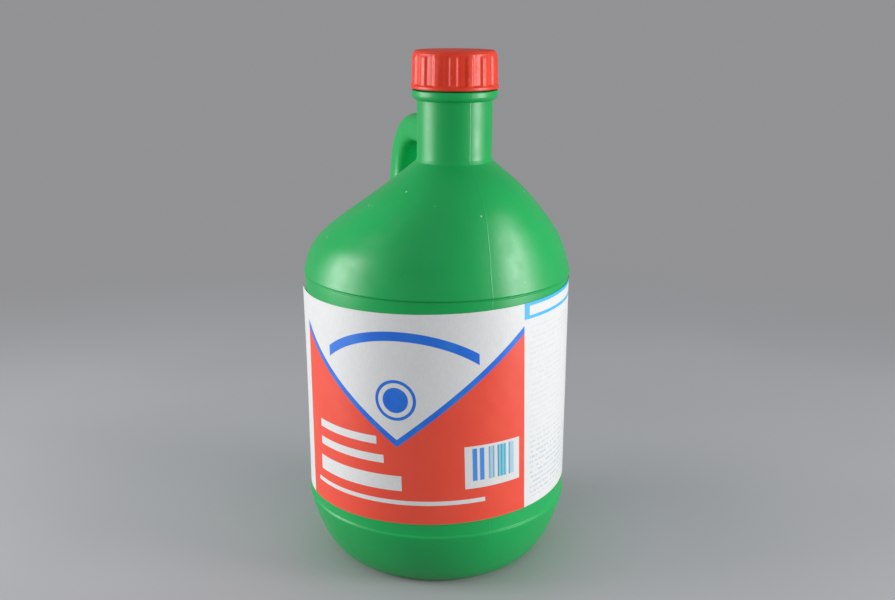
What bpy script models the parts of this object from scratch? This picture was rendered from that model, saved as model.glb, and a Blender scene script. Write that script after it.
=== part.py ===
"""Bleach bottle: a blow moulded one gallon jug with an offset neck, a hollow finger handle,
a ribbed screw cap with its liner, and a printed paper label.

Metres, +Z up. The origin is the middle of the base, on the table. The body stands on the Z axis.
The neck is set off toward -Y and the handle stands behind it, toward +Y, both in the YZ plane.
"""
import bmesh
import bpy
import numpy as np
from math import atan2, copysign, cos, hypot, pi, radians, sin, tau
from mathutils import Matrix, Vector

for old in list(bpy.data.objects):
    bpy.data.objects.remove(old, do_unlink=True)

# Bottle body, from the table up
FOOT_RADIUS = 0.0551
FOOT_WIDTH = 0.0061
PUSH_UP = 0.0065
HEEL_HEIGHT = 0.0370
HEEL_SIDE_POWER = 1.0
HEEL_FOOT_POWER = 1.71
RIDGE_STAND = 0.0007
RIDGE_HEIGHT = 0.0007
RIDGE_SLOPE_HEIGHT = 0.0008
PANEL_RADIUS = 0.0772
PANEL_HEIGHT = 0.1361
GROOVE_DEPTH = 0.0006
GROOVE_HEIGHT = 0.0018
SHOULDER_STAND = 0.0008
SHOULDER_HEIGHT = 0.0669
WALL = 0.0012

# Neck and its finish
NECK_OFFSET = 0.0253
NECK_RADIUS = 0.0207
NECK_FLARE = 0.00065
NECK_FLARE_HEIGHT = 0.0022
NECK_HEIGHT = 0.0332
BEAD_STAND = 0.0029
BEAD_HEIGHT = 0.0054
BORE_RADIUS = 0.0183
FINISH_WALL = 0.0018
FINISH_HEIGHT = 0.0176
RIM_CHAMFER = 0.0005

# Screw thread, shared by neck and cap
THREAD_PITCH = 0.00423
THREAD_TURNS = 1.5
THREAD_DEPTH = 0.0012
THREAD_ROOT = 0.0022
THREAD_CREST = 0.0012
THREAD_START = 0.0022
THREAD_CLEARANCE = 0.0004
THREAD_RUN_OUT = 0.125
THREAD_END_DEPTH = 0.25

# Handle
HANDLE_WIDTH = 0.0204
HANDLE_THICKNESS = 0.0170
HANDLE_SQUARENESS = 3.0
HANDLE_REACH = 0.0721
HANDLE_RISE = 0.0133
HANDLE_CORNER = 0.0275
HANDLE_LEAN = 0.0054
HANDLE_FOOT_HEIGHT = 0.0147
HANDLE_FLARE = 1.25
HANDLE_NECK_FLARE = 1.12
HANDLE_NECK_PULL = 0.006
HANDLE_LEG_SLOPE = 0.12
HANDLE_FOOT_PULL_BACK = 0.004
HANDLE_FOOT_PULL_DOWN = 0.008

# Cap and liner
CAP_WALL = 0.0011
CAP_TOP_WALL = 0.0016
CAP_EDGE_WIDTH = 0.0028
CAP_EDGE_HEIGHT = 0.0036
CAP_DRAFT = 0.0004
CAP_BAND_HEIGHT = 0.0022
CAP_BAND_STAND = 0.0005
CAP_BASE_GAP = 0.0007
RIB_COUNT = 16
RIB_DEPTH = 0.0007
RIB_FOOT = 0.31
RIB_CREST = 0.125
RIB_TURN = radians(-2.7)
LINER_THICKNESS = 0.0010

# Label
LABEL_HEIGHT = 0.1209
LABEL_BOTTOM = 0.0459
LABEL_THICKNESS = 0.0002
LABEL_LEFT = radians(92.0)
LABEL_RIGHT = radians(95.0)
LABEL_FRONT = radians(-112.9)
LABEL_SKEW = radians(1.6)
LABEL_CORNER_LIFT = 0.0028
LABEL_CORNER_REACH = 0.036

# Gap kept between pieces that touch, how far a cutter passes a face, and the pull of a quarter arc
FIT_GAP = 0.0003
CUT_PAST = 0.002
THREAD_SINK = 0.0005
MERGE = 0.00001
ARC_PULL = 0.5523

# Heights and radii that follow from the sizes above
RIDGE_RADIUS = PANEL_RADIUS + RIDGE_STAND
SHOULDER_RADIUS = PANEL_RADIUS + SHOULDER_STAND
PANEL_Z = HEEL_HEIGHT + RIDGE_HEIGHT + RIDGE_SLOPE_HEIGHT
GROOVE_Z = HEEL_HEIGHT + PANEL_HEIGHT
NECK_Z = GROOVE_Z + SHOULDER_HEIGHT
BEAD_Z = NECK_Z + NECK_HEIGHT
FINISH_Z = BEAD_Z + BEAD_HEIGHT
RIM_Z = FINISH_Z + FINISH_HEIGHT
NECK_BASE_RADIUS = NECK_RADIUS + NECK_FLARE
BEAD_RADIUS = NECK_RADIUS + BEAD_STAND
FINISH_RADIUS = BORE_RADIUS + FINISH_WALL
CAP_BASE_Z = FINISH_Z + CAP_BASE_GAP
CAP_BORE_RADIUS = FINISH_RADIUS + THREAD_DEPTH + THREAD_CLEARANCE
CAP_VALLEY_RADIUS = CAP_BORE_RADIUS + CAP_WALL
CAP_RIB_RADIUS = CAP_VALLEY_RADIUS + RIB_DEPTH
LINER_Z = RIM_Z + FIT_GAP
CAP_ROOF_Z = LINER_Z + LINER_THICKNESS + FIT_GAP
CAP_TOP_Z = CAP_ROOF_Z + CAP_TOP_WALL

# Shoulder form: share of the height, and share of the way in from the shoulder to the neck
SHOULDER_SHARES = [0.0, 0.15, 0.30, 0.45, 0.60, 0.80, 1.0]
SHOULDER_WIDTHS = [1.0, 0.952, 0.864, 0.715, 0.537, 0.284, 0.0]
SHIFT_START = 0.113
SHIFT_END = 0.923
SHOULDER_START = 0.05

# Facets
BODY_STEPS = 64
CAVITY_STEPS = 48
CAP_STEPS_PER_RIB = 5
THREAD_STEPS_PER_TURN = 36
HANDLE_SIDES = 16
LABEL_COLUMNS = 48
LABEL_ROWS = 6

model = bpy.data.collections.new("bleach_bottle")
cutters = bpy.data.collections.new("cutters")
for collection in (model, cutters):
    bpy.context.scene.collection.children.link(collection)


def plastic(name, colour, roughness):
    """A Principled material for a moulded or printed surface."""
    material = bpy.data.materials.new(name)
    material.use_nodes = True
    shader = material.node_tree.nodes["Principled BSDF"]
    shader.inputs["Base Color"].default_value = (*colour, 1.0)
    shader.inputs["Roughness"].default_value = roughness
    shader.inputs["Metallic"].default_value = 0.0
    material.diffuse_color = (*colour, 1.0)
    return material


def put(name, mesh, collection):
    """Make an object from a mesh and link it to a collection."""
    item = bpy.data.objects.new(name, mesh)
    collection.objects.link(item)
    return item


def baked(item):
    """Replace an object by a mesh object with its modifiers applied, and weld its doubles."""
    bpy.context.view_layer.update()
    graph = bpy.context.evaluated_depsgraph_get()
    mesh = bpy.data.meshes.new_from_object(item.evaluated_get(graph))
    shape = bmesh.new()
    shape.from_mesh(mesh)
    bmesh.ops.remove_doubles(shape, verts=shape.verts, dist=MERGE)
    shape.to_mesh(mesh)
    shape.free()
    result = put(item.name + "_baked", mesh, item.users_collection[0])
    result.matrix_world = item.matrix_world.copy()
    name = item.name
    bpy.data.objects.remove(item, do_unlink=True)
    result.name = name
    return result


def turned(name, profile, steps, collection):
    """Turn a profile of (radius, height) points, given from the bottom up, about Z."""
    mesh = bpy.data.meshes.new(name)
    points = [(radius, 0.0, height) for radius, height in reversed(profile)]
    mesh.from_pydata(points, [(i, i + 1) for i in range(len(points) - 1)], [])
    item = put(name, mesh, collection)
    screw = item.modifiers.new("Screw", "SCREW")
    screw.axis = "Z"
    screw.steps = steps
    screw.render_steps = steps
    screw.use_merge_vertices = True
    screw.merge_threshold = MERGE
    return baked(item)


def combine(target, tool, operation):
    """Join or cut one closed mesh with another and drop the tool."""
    step = target.modifiers.new(operation, "BOOLEAN")
    step.operation = operation
    step.solver = "EXACT"
    step.object = tool
    result = baked(target)
    bpy.data.objects.remove(tool, do_unlink=True)
    return result


def smooth_curve(knots, values, place):
    """A smooth curve through a few stations: cubic pieces with averaged slopes."""
    slopes = np.gradient(values, knots)
    i = min(int(np.searchsorted(knots, place, side="right")) - 1, len(knots) - 2)
    span = knots[i + 1] - knots[i]
    t = (place - knots[i]) / span
    rise = (2 * t**3 - 3 * t**2 + 1) * values[i] + (3 * t**2 - 2 * t**3) * values[i + 1]
    return rise + span * ((t**3 - 2 * t**2 + t) * slopes[i] + (t**3 - t**2) * slopes[i + 1])


def ease(t):
    """Ease from 0 to 1 with level ends."""
    t = min(max(t, 0.0), 1.0)
    return t * t * (3.0 - 2.0 * t)


def shoulder_radius(share):
    width = smooth_curve(SHOULDER_SHARES, SHOULDER_WIDTHS, share)
    return NECK_BASE_RADIUS + (SHOULDER_RADIUS - NECK_BASE_RADIUS) * width


def neck_shift(height):
    """How far the ring at a height is set off toward the front."""
    share = (height - GROOVE_Z) / SHOULDER_HEIGHT
    return NECK_OFFSET * ease((share - SHIFT_START) / (SHIFT_END - SHIFT_START))


def set_off(item):
    """Slide each ring of a turned form toward the front, so the neck ends up off the axis."""
    for vertex in item.data.vertices:
        vertex.co.y -= neck_shift(vertex.co.z)
    item.data.update()


def push_up(lift):
    """The raised middle of the base, from the axis out to the foot ring."""
    edge = FOOT_RADIUS - FOOT_WIDTH
    return [(edge * share, lift + PUSH_UP * (1.0 - share**2)) for share in (0.0, 0.4, 0.7, 1.0)]


def heel(side_radius, floor_z):
    """The rounded heel from the foot ring up to the ridge, a quarter of a squared-off ellipse."""
    points = []
    for i in range(9):
        angle = radians(90.0) * (1.0 - i / 8.0)
        out = max(cos(angle), 0.0) ** HEEL_SIDE_POWER
        down = max(sin(angle), 0.0) ** HEEL_FOOT_POWER
        radius = FOOT_RADIUS + (side_radius - FOOT_RADIUS) * out
        points.append((radius, HEEL_HEIGHT - (HEEL_HEIGHT - floor_z) * down))
    return points


def bottle_outside():
    """Outer profile, from the middle of the base to the middle of the mouth."""
    profile = push_up(0.0) + heel(RIDGE_RADIUS, 0.0)
    profile += [
        (RIDGE_RADIUS, HEEL_HEIGHT + RIDGE_HEIGHT),
        (PANEL_RADIUS, PANEL_Z),
        (PANEL_RADIUS, GROOVE_Z - GROOVE_HEIGHT / 2),
        (PANEL_RADIUS - GROOVE_DEPTH, GROOVE_Z),
        (SHOULDER_RADIUS, GROOVE_Z + GROOVE_HEIGHT / 2),
    ]
    for i in range(13):
        share = SHOULDER_START + (1.0 - SHOULDER_START) * i / 12.0
        profile.append((shoulder_radius(share), GROOVE_Z + share * SHOULDER_HEIGHT))
    profile += [(NECK_RADIUS, NECK_Z + NECK_FLARE_HEIGHT), (NECK_RADIUS, BEAD_Z)]
    for i in range(1, 4):
        angle = radians(30.0 * i)
        out = BEAD_RADIUS - BEAD_STAND * (1.0 - sin(angle))
        profile.append((out, BEAD_Z + BEAD_STAND * (1.0 - cos(angle))))
    profile += [
        (BEAD_RADIUS, FINISH_Z - RIM_CHAMFER),
        (BEAD_RADIUS - RIM_CHAMFER, FINISH_Z),
        (FINISH_RADIUS, FINISH_Z),
        (FINISH_RADIUS, RIM_Z - RIM_CHAMFER),
        (FINISH_RADIUS - RIM_CHAMFER, RIM_Z),
        (0.0, RIM_Z),
    ]
    return profile


def bottle_cavity():
    """Inner profile: the outside less the wall, running out past the rim."""
    profile = push_up(WALL) + heel(RIDGE_RADIUS - WALL, WALL)
    profile += [
        (PANEL_RADIUS - WALL, PANEL_Z + WALL),
        (PANEL_RADIUS - WALL, GROOVE_Z - GROOVE_HEIGHT),
    ]
    for i in range(1, 10):
        share = i / 10.0
        slope = (shoulder_radius(share + 0.01) - shoulder_radius(share - 0.01)) / (
            0.02 * SHOULDER_HEIGHT
        )
        radius = shoulder_radius(share) - WALL * hypot(1.0, slope)
        profile.append((radius, GROOVE_Z + share * SHOULDER_HEIGHT))
    profile += [
        (NECK_RADIUS - WALL, NECK_Z + WALL / 2),
        (NECK_RADIUS - WALL, BEAD_Z),
        (BORE_RADIUS, FINISH_Z),
        (BORE_RADIUS, RIM_Z + CUT_PAST),
        (0.0, RIM_Z + CUT_PAST),
    ]
    return profile


def thread(name, root_radius, crest_radius, lower_z, start_angle):
    """A right hand thread ridge: a trapezoid carried up a helix, run out into the wall at its ends."""
    wall_side = root_radius + (THREAD_SINK if crest_radius < root_radius else -THREAD_SINK)
    section = [
        (wall_side, -THREAD_ROOT / 2),
        (crest_radius, -THREAD_CREST / 2),
        (crest_radius, THREAD_CREST / 2),
        (wall_side, THREAD_ROOT / 2),
    ]
    steps = int(THREAD_STEPS_PER_TURN * THREAD_TURNS)
    mesh = bpy.data.meshes.new(name)
    mesh.from_pydata([(r, 0.0, z) for r, z in section], [(0, 1), (1, 2), (2, 3), (3, 0)], [])
    ridge = put(name, mesh, cutters)
    screw = ridge.modifiers.new("Screw", "SCREW")
    screw.axis = "Z"
    screw.angle = tau * THREAD_TURNS
    screw.screw_offset = THREAD_PITCH * THREAD_TURNS
    screw.steps = steps
    screw.render_steps = steps
    ridge = baked(ridge)
    shape = bmesh.new()
    shape.from_mesh(ridge.data)
    shape.verts.ensure_lookup_table()
    run_out = THREAD_RUN_OUT / THREAD_TURNS
    for index, vertex in enumerate(shape.verts):
        progress = (index // len(section)) / steps
        depth = ease(min(progress, 1.0 - progress) / run_out)
        radius = hypot(vertex.co.x, vertex.co.y)
        sunk = wall_side + (radius - wall_side) * (THREAD_END_DEPTH + (1.0 - THREAD_END_DEPTH) * depth)
        vertex.co.x *= sunk / radius
        vertex.co.y *= sunk / radius
    bmesh.ops.holes_fill(shape, edges=shape.edges, sides=len(section))
    bmesh.ops.recalc_face_normals(shape, faces=shape.faces)
    bmesh.ops.rotate(shape, verts=shape.verts, matrix=Matrix.Rotation(start_angle, 3, "Z"))
    bmesh.ops.translate(shape, verts=shape.verts, vec=Vector((0.0, 0.0, lower_z)))
    shape.to_mesh(ridge.data)
    shape.free()
    return ridge


def handle_section(name, width, thickness):
    """A rounded rectangle, from a sharp-cornered power curve, to carry along the handle."""
    curve = bpy.data.curves.new(name, "CURVE")
    spline = curve.splines.new("POLY")
    spline.points.add(HANDLE_SIDES - 1)
    spline.use_cyclic_u = True
    for i, point in enumerate(spline.points):
        angle = tau * i / HANDLE_SIDES
        across = copysign(abs(cos(angle)) ** (2.0 / HANDLE_SQUARENESS), cos(angle))
        deep = copysign(abs(sin(angle)) ** (2.0 / HANDLE_SQUARENESS), sin(angle))
        point.co = (across * width / 2, deep * thickness / 2, 0.0, 1.0)
    return put(name, curve, cutters)


def handle_tube(name, inset):
    """The handle as a bent tube, flared where it lands on the shoulder. Its ends stay in the bottle."""
    arch_z = NECK_Z + HANDLE_RISE
    leg_y = HANDLE_REACH - NECK_OFFSET
    pull = HANDLE_CORNER * ARC_PULL
    foot_y = leg_y + HANDLE_LEAN
    foot_z = GROOVE_Z + HANDLE_FOOT_HEIGHT
    foot_pull = (HANDLE_FOOT_PULL_BACK, -HANDLE_FOOT_PULL_DOWN)
    route = [
        ((-NECK_OFFSET + BORE_RADIUS / 2, arch_z), (HANDLE_NECK_PULL, 0.0), HANDLE_NECK_FLARE),
        ((leg_y - HANDLE_CORNER, arch_z), (pull, 0.0), 1.0),
        ((leg_y, arch_z - HANDLE_CORNER), (HANDLE_LEG_SLOPE * pull, -pull), 1.0),
        ((foot_y, foot_z), foot_pull, HANDLE_FLARE),
    ]
    section = handle_section(name + "_section", HANDLE_WIDTH - 2 * inset, HANDLE_THICKNESS - 2 * inset)
    curve = bpy.data.curves.new(name, "CURVE")
    curve.dimensions = "3D"
    curve.bevel_mode = "OBJECT"
    curve.bevel_object = section
    curve.resolution_u = 6
    curve.use_fill_caps = True
    spline = curve.splines.new("BEZIER")
    spline.bezier_points.add(len(route) - 1)
    for point, ((y, z), (pull_y, pull_z), size) in zip(spline.bezier_points, route):
        point.co = (0.0, y, z)
        point.handle_left = (0.0, y - pull_y, z - pull_z)
        point.handle_right = (0.0, y + pull_y, z + pull_z)
        point.radius = size
    tube = baked(put(name, curve, cutters))
    bpy.data.objects.remove(section, do_unlink=True)
    shape = bmesh.new()
    shape.from_mesh(tube.data)
    bmesh.ops.recalc_face_normals(shape, faces=shape.faces)
    shape.to_mesh(tube.data)
    shape.free()
    return tube


def make_bottle():
    bottle = turned("bottle", bottle_outside(), BODY_STEPS, model)
    set_off(bottle)
    bottle = combine(bottle, handle_tube("handle_outside", 0.0), "UNION")
    lower_z = RIM_Z - THREAD_START - THREAD_PITCH * THREAD_TURNS
    ridge = thread("neck_thread", FINISH_RADIUS, FINISH_RADIUS + THREAD_DEPTH, lower_z, 0.0)
    ridge.location.y = -NECK_OFFSET
    bottle = combine(bottle, ridge, "UNION")
    cavity = turned("cavity", bottle_cavity(), CAVITY_STEPS, cutters)
    set_off(cavity)
    cavity = combine(cavity, handle_tube("handle_cavity", WALL), "UNION")
    bottle = combine(bottle, cavity, "DIFFERENCE")
    return bottle


def rib_ring(item):
    """Press the grip ribs into a turned cap, and narrow its skirt a little toward the top."""
    places = [-RIB_FOOT, -RIB_CREST, RIB_CREST, RIB_FOOT, 0.5]
    raised = [0.0, 1.0, 1.0, 0.0, 0.0]
    low_z = CAP_BASE_Z + CAP_BAND_HEIGHT
    high_z = CAP_TOP_Z - CAP_EDGE_HEIGHT
    pitch = tau / RIB_COUNT
    for vertex in item.data.vertices:
        radius = hypot(vertex.co.x, vertex.co.y)
        if radius < MERGE:
            continue
        station = round(atan2(vertex.co.y, vertex.co.x) / (pitch / CAP_STEPS_PER_RIB))
        rib, place = divmod(station, CAP_STEPS_PER_RIB)
        angle = pitch * (rib + places[place]) + RIB_TURN
        if low_z + MERGE < vertex.co.z < high_z - MERGE:
            radius += RIB_DEPTH * raised[place]
        if vertex.co.z > low_z:
            radius -= CAP_DRAFT * min((vertex.co.z - low_z) / (high_z - low_z), 1.0)
        vertex.co.x = radius * cos(angle)
        vertex.co.y = radius * sin(angle)
    item.data.update()


def make_cap():
    band_radius = CAP_RIB_RADIUS + CAP_BAND_STAND
    band_z = CAP_BASE_Z + CAP_BAND_HEIGHT
    edge_z = CAP_TOP_Z - CAP_EDGE_HEIGHT
    outside = [
        (0.0, CAP_BASE_Z),
        (band_radius, CAP_BASE_Z),
        (band_radius, band_z - 2 * CAP_BAND_STAND),
        (CAP_RIB_RADIUS, band_z),
        (CAP_VALLEY_RADIUS, band_z + RIB_DEPTH),
        (CAP_VALLEY_RADIUS, edge_z - RIB_DEPTH),
        (CAP_RIB_RADIUS, edge_z),
    ]
    for i in range(1, 4):
        angle = radians(30.0 * i)
        out = CAP_RIB_RADIUS - CAP_EDGE_WIDTH * (1.0 - cos(angle))
        outside.append((out, edge_z + CAP_EDGE_HEIGHT * sin(angle)))
    outside.append((0.0, CAP_TOP_Z))
    cap = turned("cap", outside, RIB_COUNT * CAP_STEPS_PER_RIB, model)
    rib_ring(cap)
    inside = [
        (0.0, CAP_BASE_Z - CUT_PAST),
        (CAP_BORE_RADIUS, CAP_BASE_Z - CUT_PAST),
        (CAP_BORE_RADIUS, CAP_ROOF_Z),
        (0.0, CAP_ROOF_Z),
    ]
    cap = combine(cap, turned("cap_bore", inside, CAVITY_STEPS, cutters), "DIFFERENCE")
    lower_z = RIM_Z - THREAD_START - THREAD_PITCH * (THREAD_TURNS + 1.0)
    crest = FINISH_RADIUS + THREAD_CLEARANCE
    cap = combine(cap, thread("cap_thread", CAP_BORE_RADIUS, crest, lower_z, -pi), "UNION")
    cap.location.y = -NECK_OFFSET
    return cap


def make_liner():
    bpy.ops.mesh.primitive_cylinder_add(
        vertices=CAVITY_STEPS,
        radius=CAP_BORE_RADIUS - FIT_GAP,
        depth=LINER_THICKNESS,
        location=(0.0, -NECK_OFFSET, LINER_Z + LINER_THICKNESS / 2),
    )
    liner = bpy.context.object
    liner.name = "cap_liner"
    for holder in list(liner.users_collection):
        holder.objects.unlink(liner)
    model.objects.link(liner)
    return liner


def on_panel(along, up, radius):
    """Wrap a point of the flat label round the panel: along is positive to the reader's right."""
    turned_along = along * cos(LABEL_SKEW) - up * sin(LABEL_SKEW)
    turned_up = along * sin(LABEL_SKEW) + up * cos(LABEL_SKEW)
    angle = LABEL_FRONT + turned_along / PANEL_RADIUS
    return Vector((radius * cos(angle), radius * sin(angle), LABEL_BOTTOM + turned_up))


def make_label():
    """A paper sheet round the front of the panel. Its upper left corner has come loose."""
    left = -LABEL_LEFT * PANEL_RADIUS
    right = LABEL_RIGHT * PANEL_RADIUS
    shape = bmesh.new()
    grid = []
    for column in range(LABEL_COLUMNS + 1):
        along = left + (right - left) * column / LABEL_COLUMNS
        near_end = 1.0 - min((along - left) / LABEL_CORNER_REACH, 1.0)
        line = []
        for row in range(LABEL_ROWS + 1):
            up = LABEL_HEIGHT * row / LABEL_ROWS
            lift = LABEL_CORNER_LIFT * near_end**2 * (up / LABEL_HEIGHT) ** 2
            line.append(shape.verts.new(on_panel(along, up, PANEL_RADIUS + FIT_GAP + lift)))
        grid.append(line)
    for column in range(LABEL_COLUMNS):
        for row in range(LABEL_ROWS):
            here, after = grid[column], grid[column + 1]
            shape.faces.new((here[row], after[row], after[row + 1], here[row + 1]))
    mesh = bpy.data.meshes.new("label")
    shape.to_mesh(mesh)
    shape.free()
    label = put("label", mesh, model)
    thick = label.modifiers.new("Solidify", "SOLIDIFY")
    thick.thickness = LABEL_THICKNESS
    thick.offset = 1.0
    return label


bottle = make_bottle()
cap = make_cap()
liner = make_liner()
label = make_label()

bottle.data.materials.append(plastic("green_plastic", (0.01, 0.31, 0.07), 0.38))
cap.data.materials.append(plastic("red_plastic", (0.70, 0.03, 0.02), 0.35))
liner.data.materials.append(plastic("white_foam", (0.80, 0.80, 0.78), 0.80))
label.data.materials.append(plastic("white_paper", (0.80, 0.80, 0.78), 0.45))

for piece in model.objects:
    piece.data.shade_smooth()
    piece.data.set_sharp_from_angle(angle=radians(35.0))
for cutter in cutters.objects:
    cutter.hide_render = True
    cutter.display_type = "WIRE"
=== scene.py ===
# %% [markdown]
# # A bleach bottle, made ready for its picture
# This lesson dresses a plain CAD bottle so that it looks like the real one: a green blow moulded jug
# with a neck set off to one side, a finger handle, a ribbed red cap and a printed paper label.
# The CAD model is the fixed frame. Every piece made here stays where the frame says, in metres,
# with +Z up, the neck toward -Y and the handle toward +Y.

from math import cos, degrees, hypot, pi, radians, sin, tau

import bmesh
import bpy
import numpy as np
from mathutils import Matrix, Vector
from mathutils.geometry import interpolate_bezier


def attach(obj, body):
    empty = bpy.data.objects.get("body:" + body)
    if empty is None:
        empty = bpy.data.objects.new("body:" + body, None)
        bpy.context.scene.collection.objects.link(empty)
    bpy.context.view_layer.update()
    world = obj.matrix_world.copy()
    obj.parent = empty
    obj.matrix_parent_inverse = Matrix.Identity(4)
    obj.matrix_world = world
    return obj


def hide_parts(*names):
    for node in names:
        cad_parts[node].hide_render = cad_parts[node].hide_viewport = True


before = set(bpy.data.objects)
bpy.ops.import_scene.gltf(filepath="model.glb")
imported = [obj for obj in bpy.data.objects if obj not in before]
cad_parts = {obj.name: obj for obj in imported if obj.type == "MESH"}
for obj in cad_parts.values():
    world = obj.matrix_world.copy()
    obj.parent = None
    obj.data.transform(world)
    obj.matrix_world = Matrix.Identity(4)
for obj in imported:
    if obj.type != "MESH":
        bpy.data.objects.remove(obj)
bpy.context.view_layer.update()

# %% [markdown]
# ## The camera
# The photograph looks slightly down on the bottle and past its front to one side. The place, the
# aim and the lens were found by fitting the rings of the bottle to the photograph, so they are
# written here as plain numbers. The small roll is the tilt of the photographer's camera.

# %% Camera
CAMERA_PLACE = (-0.2349, -0.5724, 0.3265)
CAMERA_DOWN = 0.2731
CAMERA_ASIDE = 0.3996
CAMERA_ROLL = 0.0035
LENS = 43.44

lens = bpy.data.cameras.new("camera")
lens.lens = LENS
lens.sensor_width = 36.0
camera = bpy.data.objects.new("camera", lens)
bpy.context.scene.collection.objects.link(camera)
level = cos(CAMERA_DOWN)
aim = Vector((level * sin(CAMERA_ASIDE), level * cos(CAMERA_ASIDE), -sin(CAMERA_DOWN)))
turn = aim.to_track_quat("-Z", "Y").to_matrix() @ Matrix.Rotation(CAMERA_ROLL, 3, "Z")
camera.matrix_world = Matrix.Translation(CAMERA_PLACE) @ turn.to_4x4()
bpy.context.scene.camera = camera
bpy.context.scene.view_settings.view_transform = "Standard"
print("camera looks down", round(degrees(CAMERA_DOWN), 1), "degrees")

# %% [markdown]
# ## Sizes
# The scene can't read the CAD source, so the sizes that the finer pieces need are repeated here.
# Each one has the same name and value as in the source.

# %% Sizes of the bottle
FOOT_RADIUS = 0.0551
FOOT_WIDTH = 0.0061
PUSH_UP = 0.0065
HEEL_HEIGHT = 0.0370
HEEL_SIDE_POWER = 1.0
HEEL_FOOT_POWER = 1.71
RIDGE_STAND = 0.0007
RIDGE_HEIGHT = 0.0007
RIDGE_SLOPE_HEIGHT = 0.0008
PANEL_RADIUS = 0.0772
PANEL_HEIGHT = 0.1361
GROOVE_DEPTH = 0.0006
GROOVE_HEIGHT = 0.0018
SHOULDER_STAND = 0.0008
SHOULDER_HEIGHT = 0.0669
WALL = 0.0012
NECK_OFFSET = 0.0253
NECK_RADIUS = 0.0207
NECK_FLARE = 0.00065
NECK_FLARE_HEIGHT = 0.0022
NECK_HEIGHT = 0.0332
BEAD_STAND = 0.0029
BEAD_HEIGHT = 0.0054
BORE_RADIUS = 0.0183
FINISH_WALL = 0.0018
FINISH_HEIGHT = 0.0176
SHOULDER_SHARES = [0.0, 0.15, 0.30, 0.45, 0.60, 0.80, 1.0]
SHOULDER_WIDTHS = [1.0, 0.952, 0.864, 0.715, 0.537, 0.284, 0.0]
SHIFT_START = 0.113
SHIFT_END = 0.923
SHOULDER_START = 0.05
RIDGE_RADIUS = PANEL_RADIUS + RIDGE_STAND
SHOULDER_RADIUS = PANEL_RADIUS + SHOULDER_STAND
PANEL_Z = HEEL_HEIGHT + RIDGE_HEIGHT + RIDGE_SLOPE_HEIGHT
GROOVE_Z = HEEL_HEIGHT + PANEL_HEIGHT
NECK_Z = GROOVE_Z + SHOULDER_HEIGHT
BEAD_Z = NECK_Z + NECK_HEIGHT
FINISH_Z = BEAD_Z + BEAD_HEIGHT
RIM_Z = FINISH_Z + FINISH_HEIGHT
NECK_BASE_RADIUS = NECK_RADIUS + NECK_FLARE
BEAD_RADIUS = NECK_RADIUS + BEAD_STAND
FINISH_RADIUS = BORE_RADIUS + FINISH_WALL
print("rim at", round(RIM_Z * 1000, 1), "mm")

# %% Sizes of the thread, handle, cap and label
THREAD_PITCH = 0.00423
THREAD_TURNS = 1.5
THREAD_DEPTH = 0.0012
THREAD_ROOT = 0.0022
THREAD_CREST = 0.0012
THREAD_START = 0.0022
THREAD_CLEARANCE = 0.0004
THREAD_RUN_OUT = 0.125
THREAD_END_DEPTH = 0.25
HANDLE_WIDTH = 0.0204
HANDLE_THICKNESS = 0.0170
HANDLE_SQUARENESS = 3.0
HANDLE_REACH = 0.0721
HANDLE_RISE = 0.0133
HANDLE_CORNER = 0.0275
HANDLE_LEAN = 0.0054
HANDLE_FOOT_HEIGHT = 0.0147
HANDLE_FLARE = 1.25
HANDLE_NECK_FLARE = 1.12
HANDLE_NECK_PULL = 0.006
HANDLE_LEG_SLOPE = 0.12
HANDLE_FOOT_PULL_BACK = 0.004
HANDLE_FOOT_PULL_DOWN = 0.008
CAP_WALL = 0.0011
CAP_TOP_WALL = 0.0016
CAP_EDGE_WIDTH = 0.0028
CAP_EDGE_HEIGHT = 0.0036
CAP_DRAFT = 0.0004
CAP_BAND_HEIGHT = 0.0022
CAP_BAND_STAND = 0.0005
CAP_BASE_GAP = 0.0007
RIB_COUNT = 16
RIB_DEPTH = 0.0007
RIB_FOOT = 0.31
RIB_CREST = 0.125
RIB_TURN = radians(-2.7)
LINER_THICKNESS = 0.0010
FIT_GAP = 0.0003
CAP_BASE_Z = FINISH_Z + CAP_BASE_GAP
CAP_BORE_RADIUS = FINISH_RADIUS + THREAD_DEPTH + THREAD_CLEARANCE
CAP_VALLEY_RADIUS = CAP_BORE_RADIUS + CAP_WALL
CAP_RIB_RADIUS = CAP_VALLEY_RADIUS + RIB_DEPTH
LINER_Z = RIM_Z + FIT_GAP
CAP_ROOF_Z = LINER_Z + LINER_THICKNESS + FIT_GAP
CAP_TOP_Z = CAP_ROOF_Z + CAP_TOP_WALL
LABEL_HEIGHT = 0.1209
LABEL_BOTTOM = 0.0459
LABEL_LEFT = radians(92.0)
LABEL_RIGHT = radians(95.0)
LABEL_FRONT = radians(-112.9)
LABEL_SKEW = radians(1.6)
LABEL_CORNER_LIFT = 0.0028
LABEL_CORNER_REACH = 0.036
MERGE = 0.00001
ARC_PULL = 0.5523
print("cap top at", round(CAP_TOP_Z * 1000, 1), "mm")

# %% [markdown]
# ## Helpers for node trees
# Materials and Geometry Nodes both grow from small sums. A Value is the output of a node, and a plain
# sum with Values adds one Math node for each sign. The other helpers add a node, feed its inputs with
# Values or with numbers, and hand back one of its outputs.

# %% Values and nodes
class Value:
    """The output of a node, ready for plain sums."""

    def __init__(self, socket):
        self.socket = socket
        self.tree = socket.id_data

    def __add__(self, other):
        return calc("ADD", self, other)

    def __sub__(self, other):
        return calc("SUBTRACT", self, other)

    def __rsub__(self, other):
        return calc("SUBTRACT", other, self)

    def __mul__(self, other):
        return calc("MULTIPLY", self, other)

    def __truediv__(self, other):
        return calc("DIVIDE", self, other)

    def __rtruediv__(self, other):
        return calc("DIVIDE", other, self)


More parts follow.
